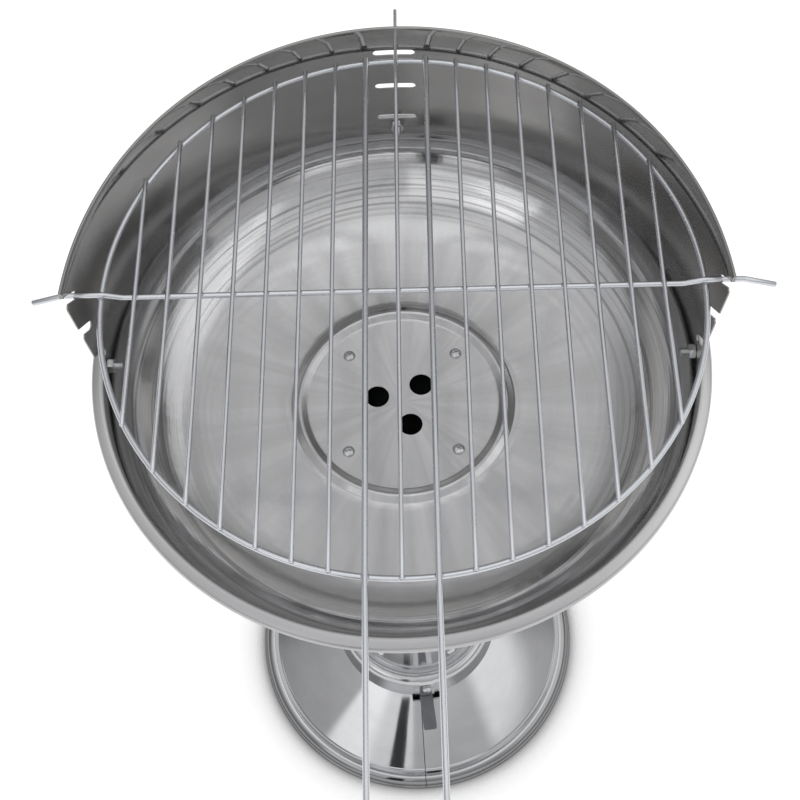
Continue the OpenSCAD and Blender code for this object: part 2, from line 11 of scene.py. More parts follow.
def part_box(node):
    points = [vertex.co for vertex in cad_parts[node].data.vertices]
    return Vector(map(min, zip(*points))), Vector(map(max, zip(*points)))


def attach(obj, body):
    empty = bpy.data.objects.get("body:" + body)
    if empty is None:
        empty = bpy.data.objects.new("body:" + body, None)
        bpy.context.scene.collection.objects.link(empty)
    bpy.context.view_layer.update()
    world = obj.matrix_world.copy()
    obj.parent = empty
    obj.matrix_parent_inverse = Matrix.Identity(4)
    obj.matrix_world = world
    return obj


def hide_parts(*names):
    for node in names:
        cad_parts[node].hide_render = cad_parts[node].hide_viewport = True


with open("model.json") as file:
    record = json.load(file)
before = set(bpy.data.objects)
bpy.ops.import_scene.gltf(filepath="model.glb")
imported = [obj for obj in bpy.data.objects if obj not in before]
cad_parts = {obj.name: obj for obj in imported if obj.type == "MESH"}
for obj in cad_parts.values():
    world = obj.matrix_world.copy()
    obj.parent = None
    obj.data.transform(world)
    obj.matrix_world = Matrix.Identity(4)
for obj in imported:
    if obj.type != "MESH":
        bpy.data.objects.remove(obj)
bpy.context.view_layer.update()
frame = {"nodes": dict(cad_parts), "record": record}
mm = 0.001
rimShare = 0.14  # rounding of a wire's cut ends, as a share of its diameter
upAxis = Vector((0, 0, 1))
print("loaded", len(frame["nodes"]), "CAD nodes")


# Shader maths: a socket that adds its nodes as it is used in an expression
class Socket:
    def __init__(self, finish, socket):
        self.finish = finish
        self.socket = socket

    def maths(self, operation, other, swapped=False):
        values = [other, self] if swapped else [self, other]
        return self.finish.add("ShaderNodeMath", {"operation": operation}, dict(enumerate(values)))

    def __add__(self, other):
        return self.maths("ADD", other)

    def __sub__(self, other):
        return self.maths("SUBTRACT", other)

    def __mul__(self, other):
        return self.maths("MULTIPLY", other)

    def __truediv__(self, other):
        return self.maths("DIVIDE", other)

    def __pow__(self, other):
        return self.maths("POWER", other)

    def __rsub__(self, other):
        return self.maths("SUBTRACT", other, swapped=True)

    __radd__ = __add__
    __rmul__ = __mul__

    def between(self, low, high):  # 0 up to low, 1 from high, smooth between them
        return self.finish.add("ShaderNodeMapRange", {"interpolation_type": "SMOOTHSTEP"},
                               {"Value": self, "From Min": low, "From Max": high})


# The node tree of one material, or of the world
class Finish:
    def __init__(self, owner):
        owner.use_nodes = True
        self.owner = owner
        self.tree = owner.node_tree
        self.tree.nodes.clear()

    def add(self, kind, settings=None, sockets=None, output=0):
        node = self.tree.nodes.new(kind)
        for name, value in (settings or {}).items():
            setattr(node, name, value)
        for name, value in (sockets or {}).items():
            if isinstance(value, Socket):
                self.tree.links.new(value.socket, node.inputs[name])
            else:
                node.inputs[name].default_value = value
        return Socket(self, node.outputs[output]) if len(node.outputs) else None

    def place(self):  # the point on the piece, in metres
        return self.add("ShaderNodeTexCoord", output="Object")

    def parts(self, vector):
        node = self.add("ShaderNodeSeparateXYZ", sockets={0: vector}).socket.node
        return [Socket(self, output) for output in node.outputs]

    def vector(self, x, y, z):
        return self.add("ShaderNodeCombineXYZ", sockets={0: x, 1: y, 2: z})

    def stretched(self, vector, scale):
        return self.add("ShaderNodeMapping", sockets={"Vector": vector, "Scale": scale})

    def flat(self, vector):  # the point dropped on the floor
        return self.stretched(vector, (1, 1, 0))

    def length(self, vector):
        return self.add("ShaderNodeVectorMath", {"operation": "LENGTH"}, {0: vector}, output="Value")

    def outward(self, vector):  # unit vector away from the column's axis
        return self.add("ShaderNodeVectorMath", {"operation": "NORMALIZE"}, {0: self.flat(vector)})

    def noise(self, vector, scale, detail=3, roughness=0.5):
        return self.add("ShaderNodeTexNoise", sockets={
            "Vector": vector, "Scale": scale, "Detail": detail, "Roughness": roughness})

    def mixed(self, share, first, second):
        return self.add("ShaderNodeMix", {"data_type": "RGBA"},
                        {0: share, 6: opaque(first), 7: opaque(second)}, output=2)

    def bump(self, height, distance, strength=1.0):
        return self.add("ShaderNodeBump", sockets={
            "Height": height, "Distance": distance, "Strength": strength})

    def shader(self, colour, roughness, normal=None, **fixed):
        sockets = {"Base Color": opaque(colour), "Roughness": roughness, "Metallic": 1.0}
        if normal:
            sockets["Normal"] = normal
        sockets.update({name.replace("_", " "): value for name, value in fixed.items()})
        return self.add("ShaderNodeBsdfPrincipled", sockets=sockets)

    def done(self, shader, output="ShaderNodeOutputMaterial"):
        self.add(output, sockets={"Surface": shader})
        return self.owner


def opaque(colour):
    return colour if isinstance(colour, Socket) or len(colour) == 4 else (*colour, 1)


def newFinish(name):
    return Finish(bpy.data.materials.new(name))


# Mesh helpers. Corners are (radius, height, corner radius) in millimetres, in the XZ plane
def drawLine(bm, corners):
    verts = [bm.verts.new(Vector((r, 0, z)) * mm) for r, z, *_ in corners]
    for before, after in zip(verts, verts[1:]):
        bm.edges.new((before, after))
    places = [vert.co.copy() for vert in verts]
    radii = [corner[2] if len(corner) > 2 else 0 for corner in corners]
    for i in range(1, len(verts) - 1):
        if radii[i]:
            turn = (places[i] - places[i - 1]).angle(places[i + 1] - places[i])
            segments = max(2, math.ceil(turn * (2 + radii[i] / 3)))
            bmesh.ops.bevel(bm, geom=[verts[i]], offset=radii[i] * mm * math.tan(turn / 2),
                            offset_type="OFFSET", segments=segments, profile=0.5,
                            affect="VERTICES", material=-1)
    return verts[0], verts[-1]


def turnRound(bm, steps, degrees=360, fromDegrees=0):
    first = Matrix.Rotation(math.radians(fromDegrees), 3, "Z")
    bmesh.ops.rotate(bm, verts=bm.verts, cent=(0, 0, 0), matrix=first)
    bmesh.ops.spin(bm, geom=bm.verts[:] + bm.edges[:], cent=(0, 0, 0), axis=(0, 0, 1), dvec=(0, 0, 0),
                   angle=math.radians(degrees), steps=steps, use_merge=degrees == 360)
    bmesh.ops.remove_doubles(bm, verts=bm.verts, dist=1e-6)
    bmesh.ops.recalc_face_normals(bm, faces=bm.faces)


def makePiece(name, bm, material=None):
    mesh = bpy.data.meshes.new(name)
    bm.to_mesh(mesh)
    bm.free()
    piece = bpy.data.objects.new(name, mesh)
    bpy.context.scene.collection.objects.link(piece)
    if material:
        mesh.materials.append(material)
    return piece


def settle(piece):  # the modifiers become the mesh
    bpy.context.view_layer.update()
    shaped = piece.evaluated_get(bpy.context.evaluated_depsgraph_get())
    before, piece.data = piece.data, bpy.data.meshes.new_from_object(shaped)
    piece.modifiers.clear()
    bpy.data.meshes.remove(before)


def thicken(piece, thickness, offset):
    solidify = piece.modifiers.new("wall", "SOLIDIFY")
    solidify.thickness, solidify.offset = thickness * mm, offset
    solidify.use_even_offset = solidify.use_quality_normals = True
    settle(piece)


def combine(piece, others, operation="DIFFERENCE"):
    for other in others:
        boolean = piece.modifiers.new("cut", "BOOLEAN")
        boolean.operation, boolean.solver, boolean.object = operation, "EXACT", other
    settle(piece)
    for other in others:
        bpy.data.objects.remove(other)


def dress(piece, body, slot, *nodes, sharp=32):
    bm = bmesh.new()
    bm.from_mesh(piece.data)
    for face in bm.faces:
        face.smooth = True
    for edge in bm.edges:
        edge.smooth = edge.calc_face_angle(0) < math.radians(sharp)
    bm.to_mesh(piece.data)
    bm.free()
    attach(piece, body)
    if nodes:
        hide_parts(*nodes)
    return piece


def addCopy(bm, mesh, matrix):  # a copy of a mesh, placed in a bmesh
    known = len(bm.verts)
    bm.from_mesh(mesh)
    bm.verts.ensure_lookup_table()
    bmesh.ops.transform(bm, matrix=matrix, verts=bm.verts[known:])


def facing(place, direction, turn=0):  # stands +Z along a direction at a place
    towards = Vector(direction).to_track_quat("Z", "Y").to_matrix().to_4x4()
    return Matrix.Translation(Vector(place) * mm) @ towards @ Matrix.Rotation(math.radians(turn), 4, "Z")


def aroundFront(azimuth):  # unit vector at an azimuth from the front towards +X
    angle = math.radians(azimuth)
    return Vector((math.sin(angle), -math.cos(angle), 0))


# A wire along points in millimetres: the end face is pushed on from point to point
def drawWire(bm, points, diameter, sides):
    points = [Vector(point) * mm for point in points]
    others = set(bm.verts)
    heading = (points[1] - points[0]).normalized()
    start = Matrix.Translation(points[0]) @ upAxis.rotation_difference(heading).to_matrix().to_4x4()
    ring = bmesh.ops.create_circle(bm, cap_ends=True, segments=sides, radius=diameter / 2 * mm, matrix=start)
    first = face = ring["verts"][0].link_faces[0]
    for i in range(1, len(points)):
        made = bmesh.ops.extrude_face_region(bm, geom=[face])["geom"]
        if face != first:
            bmesh.ops.delete(bm, geom=[face], context="FACES_ONLY")
        face = next(item for item in made if isinstance(item, bmesh.types.BMFace))
        onward = (points[min(i + 1, len(points) - 1)] - points[i - 1]).normalized()
        turn = heading.rotation_difference(onward).to_matrix()
        bmesh.ops.rotate(bm, verts=face.verts, cent=points[i - 1], matrix=turn)
        bmesh.ops.translate(bm, verts=face.verts, vec=points[i] - points[i - 1])
        heading = onward
    rims = list({edge for end in (first, face) for edge in end.edges})
    bmesh.ops.bevel(bm, geom=rims, offset=diameter * rimShare * mm, offset_type="OFFSET", segments=2,
                    profile=0.5, affect="EDGES", material=-1)
    fresh = {face for vert in bm.verts if vert not in others for face in vert.link_faces}
    bmesh.ops.recalc_face_normals(bm, faces=list(fresh))


def bentPoints(corners):  # points of a line whose corners are rounded
    bm = bmesh.new()
    vert, last = drawLine(bm, corners)
    points, edge = [vert.co / mm], None
    while vert != last:
        edge = next(near for near in vert.link_edges if near != edge)
        vert = edge.other_vert(vert)
        points.append(vert.co / mm)
    bm.free()
    return points


# Finishes
def polishedSteel(name, tint, rough, ripple, paintedShadeFrom=None):  # rolled sheet, with faint ripples and smears, and painted shade outside an optional radius
    finish = newFinish(name)
    place = finish.place()
    smear = finish.noise(finish.stretched(place, (6, 6, 22)), 3, 5, 0.6)
    grain = finish.noise(finish.stretched(place, (30, 30, 900)), 4, 2)
    waves = finish.noise(place, 9, 2)
    roughness = rough + (smear - 0.5) * 0.07 + (grain - 0.5) * 0.04
    shade = finish.mixed(smear.between(0.35, 0.7), tint, [part * 0.93 for part in tint])
    if paintedShadeFrom:  # painted shade: the colour darkens outside this radius
        outer = finish.length(finish.flat(place)).between(*paintedShadeFrom)
        shade = finish.mixed(outer, shade, [part * 0.5 for part in tint])
    normal = finish.bump(waves + grain * 0.002, ripple)
    return finish.done(finish.shader(shade, roughness, normal))


def spunSteel(name, tint, kneeHighlight, satin, lipFrontShade):  # the bowl: turned on a lathe, satin on its lip, with a painted highlight on its knee and painted shade on the lip's front
    finish = newFinish(name)
    place = finish.place()
    x, y, z = finish.parts(place)
    radius = finish.length(finish.flat(place))
    rays = finish.noise(finish.outward(place), 5, 5, 0.6)
    rings = finish.noise(finish.vector(radius * 260, 0, z * 260), 1, 3, 0.6)
    cloud = finish.noise(place, 14, 4, 0.55)
    lip = radius.between(0.2172, 0.2182)
    wall = radius.between(0.168, 0.196)
    knee = radius.between(0.15, 0.185) * (1 - radius.between(0.2, 0.212))
    dish = radius.between(0.09, 0.19) * y.between(-0.13, -0.02) * 6
    roughness = 0.16 + (cloud - 0.5) * 0.1 + (rays - 0.5) * 0.12
    roughness = roughness - radius.between(0.15, 0.19) * 0.06 + lip * 0.28
    # radial streaks in the colour: polish marks, with painted reflection fans
    shade = finish.mixed(rays.between(0.3, 0.7), tint, [part * 0.86 for part in tint])
    # painted highlight: the knee's colour is brightened
    shade = finish.mixed(knee, shade, kneeHighlight)
    # dark arcs on the knee: spinning marks, with painted reflection streaks
    arcs = finish.noise(finish.vector(radius * 420, x * 3, y * 3), 1, 2, 0.6)
    dark = arcs.between(0.5, 0.68) * radius.between(0.16, 0.185)
    shade = finish.mixed(dark, shade, [part * 0.7 for part in tint])
    # painted shade: the lip's colour darkens towards the front
    shade = finish.mixed(lip, shade, finish.mixed(y.between(-0.21, -0.1), lipFrontShade, satin))
    relief = (rings * (0.3 + wall * 0.7) + cloud * 3) * 0.12 + dish
    normal = finish.bump(relief, mm)
    return finish.done(finish.shader(shade, roughness, normal))


def zincWire(name, tint):  # drawn wire, bright zinc with drawing marks and dull specks
    finish = newFinish(name)
    place = finish.place()
    marks = finish.noise(finish.stretched(place, (60, 60, 60)), 6, 5, 0.65)
    specks = finish.noise(place, 1400, 1)
    roughness = 0.25 + (marks - 0.5) * 0.16
    shade = finish.mixed(specks.between(0.66, 0.76), tint, [part * 0.85 for part in tint])
    return finish.done(finish.shader(shade, roughness, finish.bump(marks + specks * 0.1, 0.00004)))


def zincPlate(name, tint, rough):  # plated screws, bolts and nuts
    finish = newFinish(name)
    place = finish.place()
    cloud = finish.noise(place, 260, 4, 0.6)
    pits = finish.noise(place, 2200, 2)
    shade = finish.mixed(cloud.between(0.35, 0.65), tint, [part * 0.8 for part in tint])
    return finish.done(finish.shader(shade, rough + (cloud - 0.5) * 0.15, finish.bump(pits, 0.00005)))


def rolledSteel(name, tint, rough):  # plain mill sheet, with the rolling lines along X and dull clouds
    finish = newFinish(name)
    place = finish.place()
    lines = finish.noise(finish.stretched(place, (4, 700, 700)), 2, 3, 0.6)
    cloud = finish.noise(place, 25, 4, 0.6)
    shade = finish.mixed(cloud.between(0.3, 0.75), tint, [part * 0.78 for part in tint])
    roughness = rough + (lines - 0.5) * 0.2 + (cloud - 0.5) * 0.15
    return finish.done(finish.shader(shade, roughness, finish.bump(lines + cloud * 2, 0.00006)))


finishes = {
    # the bowl's knee gets a painted highlight and the front of its lip painted shade
    "bowl": spunSteel("spunBowlSteel", tint=(0.62, 0.62, 0.63), kneeHighlight=(0.74, 0.74, 0.75),
                      satin=(0.68, 0.68, 0.685), lipFrontShade=(0.54, 0.54, 0.55)),
    "screen": polishedSteel("screenMirrorSteel", (0.42, 0.412, 0.4), 0.11, 0.0005),
    # the foot's rolled rim gets painted shade outside the given radius
    "foot": polishedSteel("footMirrorSteel", (0.64, 0.645, 0.66), 0.08, 0.0004, paintedShadeFrom=(0.169, 0.174)),
    "collar": polishedSteel("collarMirrorSteel", (0.64, 0.645, 0.66), 0.16, 0.0003),
    "column": polishedSteel("columnMirrorSteel", (0.58, 0.585, 0.6), 0.11, 0.0004),
    "wire": zincWire("brightZincWire", (0.74, 0.76, 0.8)),
    "weld": zincPlate("weldSpotSteel", (0.5, 0.51, 0.54), 0.35),
    "plated": zincPlate("platedFastener", (0.76, 0.765, 0.78), 0.24),
    "innerPlated": zincPlate("innerFastener", (0.6, 0.61, 0.63), 0.35),
    "inner": rolledSteel("innerMillSteel", (0.5, 0.505, 0.52), 0.34),
    "lever": rolledSteel("damperMillSteel", (0.28, 0.285, 0.3), 0.38),
}
cadFinish = {
    "inner_steel": "inner", "damper_steel": "lever", "zinc_fasteners": "plated",
    "inner_fasteners": "innerPlated",
    "foot_cone_steel": "foot", "neck_collar_steel": "collar", "column_tube_steel": "column",
    "fire_bowl_steel": "bowl", "windscreen_steel": "screen", "grate_wire": "wire",
}
for part in frame["record"]["subparts"]:
    frame["nodes"][part["node"]].data.materials[0] = finishes[cadFinish[part["material_slot"]]]
print("finishes made", len(finishes))


# Foot: flat top, cone, groove, rounded rim and hem, with the slot for the lever and the sheet's joint
footSet = {
    "sheet": 1.0, "innerR": 72.8, "topR": 88, "topZ": 60, "topCorner": 3,
    "crease": (161.5, 13.6), "creaseCorner": 1.6,
    "rim": [(163.5, 11.3, 1.2), (167, 12.6, 3), (178.1, 12.6, 9.2), (178.1, 2.8, 0.4), (180, 2.8, 1.3),
            (180, 0, 1.3), (169, 0)],
    "slotAt": 6.3, "slotWide": 31, "slotFrom": 86, "slotDeep": 20, "slotZ": (54.8, 59),
    "lapAt": 2.6, "lapAngle": 7, "lapLift": 0.7, "lapClear": 0.02, "lapSheet": 0.5,
    "lapTop": (3, 3, 1.9), "lapEnd": 1.5, "jointFrom": 104, "jointWide": 0.7, "jointCut": 100,
}


def makeFoot(size):
    bm = bmesh.new()
    drawLine(bm, [(size["innerR"], size["topZ"]), (size["topR"], size["topZ"], size["topCorner"]),
                  (*size["crease"], size["creaseCorner"]), *size["rim"]])
    turnRound(bm, 192)
    foot = makePiece("footShell", bm, finishes["foot"])
    thicken(foot, size["sheet"], -1)
    low, high = size["slotZ"]
    bm = bmesh.new()
    bmesh.ops.create_cube(bm, size=1)
    bmesh.ops.scale(bm, verts=bm.verts, vec=(
        size["slotWide"] * mm, size["slotDeep"] * mm, (high - low) * mm))
    slotPlace = aroundFront(size["slotAt"]) * (size["slotFrom"] + size["slotDeep"] / 2)
    slotTurn = Matrix.Rotation(math.radians(size["slotAt"]), 4, "Z")
    bmesh.ops.transform(bm, verts=bm.verts, matrix=Matrix.Translation(
        (slotPlace + upAxis * (low + high) / 2) * mm) @ slotTurn)
    slotCutter = makePiece("slotCutter", bm)
    bm = bmesh.new()  # the joint of the sheet, left of its lap and through the rim
    bmesh.ops.create_cube(bm, size=1)
    cut, wide = size["jointCut"] * mm, size["jointWide"] * mm
    bmesh.ops.scale(bm, verts=bm.verts, vec=(wide, cut, cut))
    bmesh.ops.translate(bm, verts=bm.verts, vec=(-wide / 2, -cut / 2 - size["jointFrom"] * mm, 0))
    jointTurn = Matrix.Rotation(math.radians(size["lapAt"]), 3, "Z")
    bmesh.ops.rotate(bm, verts=bm.verts, cent=(0, 0, 0), matrix=jointTurn)
    combine(foot, [slotCutter, makePiece("seamCutter", bm)])
    dress(foot, "stand", "foot_cone_steel", "foot_cone")

    # The lap: the sheet's upper edge stands out beside the joint and fades out to its right
    bm = bmesh.new()
    slope = Vector((size["crease"][0] - size["topR"], 0, size["crease"][1] - size["topZ"])).normalized()
    normal = Vector((-slope.z, 0, slope.x))
    across, along, under = size["lapTop"]  # where it starts, from the corner of the flat top
    top = Vector((size["topR"] + across, 0, size["topZ"])) + slope * along - upAxis * under
    low = Vector((size["crease"][0], 0, size["crease"][1])) - slope * size["lapEnd"]
    drawLine(bm, [(top.x, top.z), (low.x, low.z)])
    turnRound(bm, 10, size["lapAngle"], size["lapAt"] - 90)
    for vert in bm.verts:
        share = (math.degrees(math.atan2(vert.co.x, -vert.co.y)) - size["lapAt"]) / size["lapAngle"]
        outward = Vector((vert.co.x, vert.co.y, 0)).normalized()
        lift = size["lapLift"] * (1 - share) ** 2 + size["lapClear"]
        vert.co += (outward * normal.x + upAxis * normal.z) * lift * mm
    lap = makePiece("footSeam", bm, finishes["foot"])
    thicken(lap, size["lapSheet"], -1)
    dress(lap, "stand", "foot_cone_steel", sharp=25)


makeFoot(footSet)
print("foot made")


# Collar: tapered band and rounded shoulder, lapped at the front under one screw
collarSet = {
    "sheet": 1.0, "lapAt": 2.2, "lapAngle": 10,
    "corners": [(76.2, 93.07), (76.2, 91.57, 0.8), (86.5, 91.57, 9.9), (86.5, 81.57), (90, 59.57)],
}


def makeCollar(size):
    bm = bmesh.new()
    drawLine(bm, size["corners"])
    turnRound(bm, 160)
    band = makePiece("collarBand", bm, finishes["collar"])
    thicken(band, size["sheet"], -1)
    dress(band, "stand", "neck_collar_steel", "neck_collar", sharp=40)
    bm = bmesh.new()
    drawLine(bm, size["corners"][1:])
    turnRound(bm, 10, size["lapAngle"], size["lapAt"] - 90)
    lap = makePiece("collarLap", bm, finishes["collar"])
    thicken(lap, size["sheet"], 1)
    dress(lap, "stand", "neck_collar_steel", sharp=40)


makeCollar(collarSet)


# Column: rolled tube with a weld line at the back
columnSet = {
    "radius": 75, "sheet": 1.0, "foot": 61.2, "top": 590.2,
    "seamWide": 3.2, "seamHigh": 0.35, "seamCrown": 0.4, "seamCorner": 0.6, "seamSink": 0.05,
}


def makeColumn(size):
    bm = bmesh.new()
    drawLine(bm, [(size["radius"], size["foot"]), (size["radius"], size["top"])])
    bmesh.ops.subdivide_edges(bm, edges=bm.edges, cuts=11)
    turnRound(bm, 160)
    tube = makePiece("columnTube", bm, finishes["column"])
    thicken(tube, size["sheet"], -1)
    dress(tube, "stand", "column_tube_steel", "column_tube")
    bm = bmesh.new()
    half, high, corner = size["seamWide"] / 2, size["seamHigh"], size["seamCorner"]
    crown = half * size["seamCrown"]
    drawLine(bm, [(-half, 0), (-crown, high, corner), (crown, high, corner), (half, 0)])
    strip = bmesh.ops.extrude_edge_only(bm, edges=bm.edges)["geom"]
    pushed = [item for item in strip if isinstance(item, bmesh.types.BMVert)]
    bmesh.ops.translate(bm, verts=pushed, vec=(0, (size["top"] - size["foot"]) * mm, 0))
    upright = Matrix.Rotation(math.pi, 3, "Z") @ Matrix.Rotation(math.radians(90), 3, "X")
    bmesh.ops.rotate(bm, verts=bm.verts, cent=(0, 0, 0), matrix=upright)
    bmesh.ops.translate(bm, verts=bm.verts, vec=(
        0, (size["radius"] - size["seamSink"]) * mm, size["foot"] * mm))
    seam = makePiece("columnSeam", bm, finishes["weld"])
    dress(seam, "stand", "column_tube_steel")


makeColumn(columnSet)
print("collar and column made")


# Bowl: floor with a locating bead and air holes, dished outside it, wide round knee, band and falling lip
bowlSet = {
    "sheet": 1.0,
    "corners": [(0, 591.2), (75.2, 591.2, 4), (80.4, 594.7, 2.4), (82, 594.7, 2.4), (87.2, 591.2, 4),
                (117.9, 591.2, 560), (197.9, 598.2, 78), (217, 650.67, 20), (217, 676.06, 2),
                (225, 673.14, 2), (225, 668.74)],
    "holes": 3, "holeD": 18.5, "holeCircle": 41.5, "holeTurn": 46, "holeCut": 10,
}


def makeBowl(size):
    bm = bmesh.new()
    drawLine(bm, size["corners"])
    turnRound(bm, 216)
    bowl = makePiece("bowlShell", bm, finishes["bowl"])
    thicken(bowl, size["sheet"], 1)
    bm = bmesh.new()
    for i in range(size["holes"]):
        angle = math.radians(size["holeTurn"] + i * 360 / size["holes"])
        place = Vector((math.cos(angle), math.sin(angle), 0)) * size["holeCircle"] / 2
        place.z = size["corners"][0][1]
        radius = size["holeD"] / 2 * mm
        bmesh.ops.create_cone(bm, cap_ends=True, segments=64, radius1=radius, radius2=radius,
                              depth=size["holeCut"] * mm, matrix=Matrix.Translation(place * mm))
    combine(bowl, [makePiece("holeCutter", bm)])
    dress(bowl, "stand", "fire_bowl_steel", "fire_bowl")


makeBowl(bowlSet)
print("bowl made")


# Windscreen: hemmed sheet round the back, leaning in at the back and spreading at its front edges
screenSet = {
    "sheet": 1.0, "middleR": 216.3, "footZ": 655.2, "bowlTop": 675.2, "top": 783.2, "hem": 7, "hemGap": 1.3,
    "front": 15, "lean": 6, "spread": 11.5, "power": 4, "slot": (31.5, 6), "slotZ": 754.5, "levels": 3,
    "pitch": 39, "notch": 6, "notchAt": (1, 756.9), "notchCorner": 3, "notchSlant": 45,
    "slotDeep": 30, "notchLong": 66, "across": 500, "roundShare": 0.499, "pastEnd": 2, "hemLine": 10,
}
diagonal = 0.7071  # each side of a unit step at 45 degrees


def screenCutters(size):
    cutters = []
    across, notchLong = size["across"] * mm, size["notchLong"] * mm
    slant, halfAngle = math.radians(size["notchSlant"]), math.radians(size["notchSlant"] / 2)
    for level in range(size["levels"]):
        wide, high = size["slot"]
        bm = bmesh.new()  # slot at the back, round at both ends
        bmesh.ops.create_cube(bm, size=1)
        bmesh.ops.scale(bm, verts=bm.verts, vec=(wide * mm, size["slotDeep"] * mm, high * mm))
        ends = [edge for edge in bm.edges if abs((edge.verts[0].co - edge.verts[1].co).y) > 0.01]
        bmesh.ops.bevel(bm, geom=ends, offset=high * size["roundShare"] * mm, offset_type="OFFSET",
                        segments=10, profile=0.5, affect="EDGES", material=-1)
        slotZ = size["slotZ"] - level * size["pitch"]
        bmesh.ops.translate(bm, verts=bm.verts, vec=(0, size["middleR"] * mm, slotZ * mm))
        cutters.append(makePiece("slotCutter", bm))

        bm = bmesh.new()  # notch through both front edges, round at its lower end
        bmesh.ops.create_cube(bm, size=1)
        bmesh.ops.scale(bm, verts=bm.verts, vec=(across, notchLong, size["notch"] * mm))
        bmesh.ops.translate(bm, verts=bm.verts, vec=(0, size["notch"] / 2 * mm - notchLong / 2, 0))
        ends = [edge for edge in bm.edges if all(vert.co.y > 0 for vert in edge.verts)
                and abs((edge.verts[0].co - edge.verts[1].co).x) > 0.1]
        bmesh.ops.bevel(bm, geom=ends, offset=size["notch"] * size["roundShare"] * mm,
                        offset_type="OFFSET", segments=8, profile=0.5, affect="EDGES", material=-1)
        notchY, notchZ = size["notchAt"]
        notchZ -= level * size["pitch"]
        bmesh.ops.rotate(bm, verts=bm.verts, cent=(0, 0, 0), matrix=Matrix.Rotation(-slant, 3, "X"))
        bmesh.ops.translate(bm, verts=bm.verts, vec=(0, notchY * mm, notchZ * mm))
        cutters.append(makePiece("notchCutter", bm))

        bm = bmesh.new()  # rounds the lower corner of the notch's mouth
        corner = size["notchCorner"]
        cornerY = -size["front"]
        cornerZ = notchZ + size["front"] + notchY - size["notch"] * math.cos(slant)
        inward = Vector((0, math.cos(slant + halfAngle), -math.sin(slant + halfAngle)))
        middle = Vector((0, cornerY, cornerZ)) + inward * corner / math.sin(halfAngle)
        first = bm.verts.new((middle + Vector((0, -corner, 0))) * mm)
        arc = bmesh.ops.spin(bm, geom=[first], cent=middle * mm, axis=(-1, 0, 0), dvec=(0, 0, 0),
                             angle=math.radians(135), steps=10)["geom_last"]
        outer = [bm.verts.new(Vector((0, y, z)) * mm) for y, z in (
            (middle.y + (corner + 1) * diagonal, middle.z + (corner + 1) * diagonal),
            (cornerY - 2, cornerZ + 3), (cornerY - 2, middle.z))]
        chain = [arc[0], *outer, first]
        for before, after in zip(chain, chain[1:]):
            bm.edges.new((before, after))
        bmesh.ops.contextual_create(bm, geom=bm.edges[:])
        pushed = bmesh.ops.extrude_face_region(bm, geom=bm.faces[:])["geom"]
        pushed = [item for item in pushed if isinstance(item, bmesh.types.BMVert)]
        bmesh.ops.translate(bm, verts=pushed, vec=(across, 0, 0))
        bmesh.ops.translate(bm, verts=bm.verts, vec=(-across / 2, 0, 0))
        bmesh.ops.recalc_face_normals(bm, faces=bm.faces)
        cutters.append(makePiece("cornerCutter", bm))
    return cutters


def makeScreen(size):
    half = 90 + math.degrees(math.asin(size["front"] / size["middleR"]))
    swept = half + size["pastEnd"]
    bm = bmesh.new()
    middle, inner = size["middleR"], size["middleR"] - size["hemGap"]
    top = size["top"] - size["sheet"] / 2
    drawLine(bm, [(middle, size["footZ"]), (middle, size["bowlTop"], 14), (middle, top - size["hemLine"]),
                  (middle, top, 0.6), (inner, top, 0.6), (inner, size["top"] - size["hem"])])
    tall = [edge for edge in bm.edges if edge.calc_length() > 0.05]
    bmesh.ops.subdivide_edges(bm, edges=tall, cuts=7)
    turnRound(bm, 190, 2 * swept, 90 - swept)
    for vert in bm.verts:
        rise = max(0, vert.co.z / mm - size["bowlTop"]) / (size["top"] - size["bowlTop"])
        azimuth = abs(math.degrees(math.atan2(vert.co.x, vert.co.y)))
        shift = (size["spread"] * (azimuth / half) ** size["power"] - size["lean"]) * rise * mm
        vert.co += Vector((vert.co.x, vert.co.y, 0)).normalized() * shift
    bmesh.ops.bisect_plane(bm, geom=bm.verts[:] + bm.edges[:] + bm.faces[:], dist=1e-6,
                           plane_co=(0, -size["front"] * mm, 0), plane_no=(0, -1, 0), clear_outer=True)
    screen = makePiece("windscreenShell", bm, finishes["screen"])
    thicken(screen, size["sheet"], 0)
    combine(screen, screenCutters(size))
    dress(screen, "stand", "windscreen_steel", "windscreen", sharp=35)


makeScreen(screenSet)
print("windscreen made")


# Screws, bolts and nuts
screwSet = {
    "headD": 9.6, "headH": 3.4, "shankD": 5, "tip": 0.7, "recess": (4.8, 1.15, 2.1), "recessTaper": 0.35,
    "dome": [(0.45, 1, 2), (0.86, 0.72, 2), (1, 0.3, 1.2)],  # shares of radius and height, and the corner
}
bowlScrewSet = {
    "side": 42.5, "seatZ": 591.2, "grip": 7.6,
    "turns": {(-1, -1): 12, (-1, 1): 38, (1, -1): 55, (1, 1): 25},
}
columnScrewSet = {"radius": 75, "height": 144, "grip": 8.5, "turns": {-30: 20, 30: 70, 150: 5, 210: 40}}
collarScrewSet = {
    "azimuth": 7.2, "lean": 3.5, "tall": 22, "footR": 90, "footZ": 59.57, "share": 0.68, "sheet": 1.02,
    "turn": 30, "grip": 7,
}
boltSet = {
    "hexagon": (10, 5, 6), "headH": 4, "pitch": 1.0, "azimuths": (89, 180, -89), "seatR": 218.02,
    "nutR": 215.66, "tipR": 204.7, "nutTurn": 8, "core": 0.87, "tipCore": 0.7, "tipLong": 0.6,
    "threadFrom": -2.6, "threadShort": 3.4,
}


